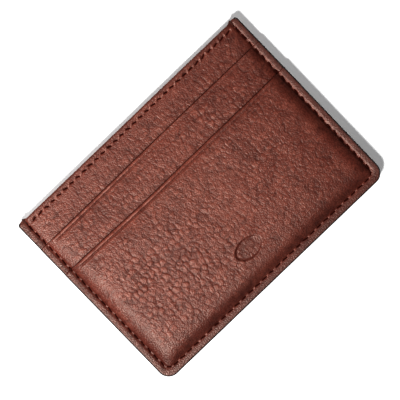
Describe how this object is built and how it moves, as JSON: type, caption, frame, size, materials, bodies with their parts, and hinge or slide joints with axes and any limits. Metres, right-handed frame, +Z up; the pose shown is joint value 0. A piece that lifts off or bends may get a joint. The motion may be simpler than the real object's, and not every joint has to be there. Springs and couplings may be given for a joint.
{
  "type": "card wallet",
  "caption": "Slim leather card wallet: stitched rounded rectangle with a centre pocket open at the top and stacked card slots on front and back.",
  "frame": {"origin": "centre of the underside, on the surface the wallet lies on", "axes": "+X along the long side, +Y toward the open mouths of the pockets, +Z up out of the front"},
  "size_m": [0.1, 0.0722, 0.008],
  "materials": {
    "brown_leather": "pebbled full-grain reddish brown leather, semi-gloss",
    "lining_cloth": "thin brown woven lining cloth",
    "sewing_thread": "bonded twisted dark red-brown thread",
    "edge_paint": "dark brown burnished edge paint"
  },
  "bodies": {
    "root": {"front_lower_pocket": "brown_leather", "front_upper_pocket": "brown_leather", "front_panel": "brown_leather", "back_lower_pocket": "brown_leather", "back_upper_pocket": "brown_leather", "back_panel": "brown_leather", "front_lower_pocket_lining": "lining_cloth", "front_upper_pocket_lining": "lining_cloth", "front_centre_lining": "lining_cloth", "back_lower_pocket_lining": "lining_cloth", "back_upper_pocket_lining": "lining_cloth", "back_centre_lining": "lining_cloth", "perimeter_needle_thread": "sewing_thread", "perimeter_bobbin_thread": "sewing_thread", "front_hem_needle_thread": "sewing_thread", "front_hem_bobbin_thread": "sewing_thread", "back_hem_needle_thread": "sewing_thread", "back_hem_bobbin_thread": "sewing_thread", "edge_paint": "edge_paint"}
  },
  "joints": []
}
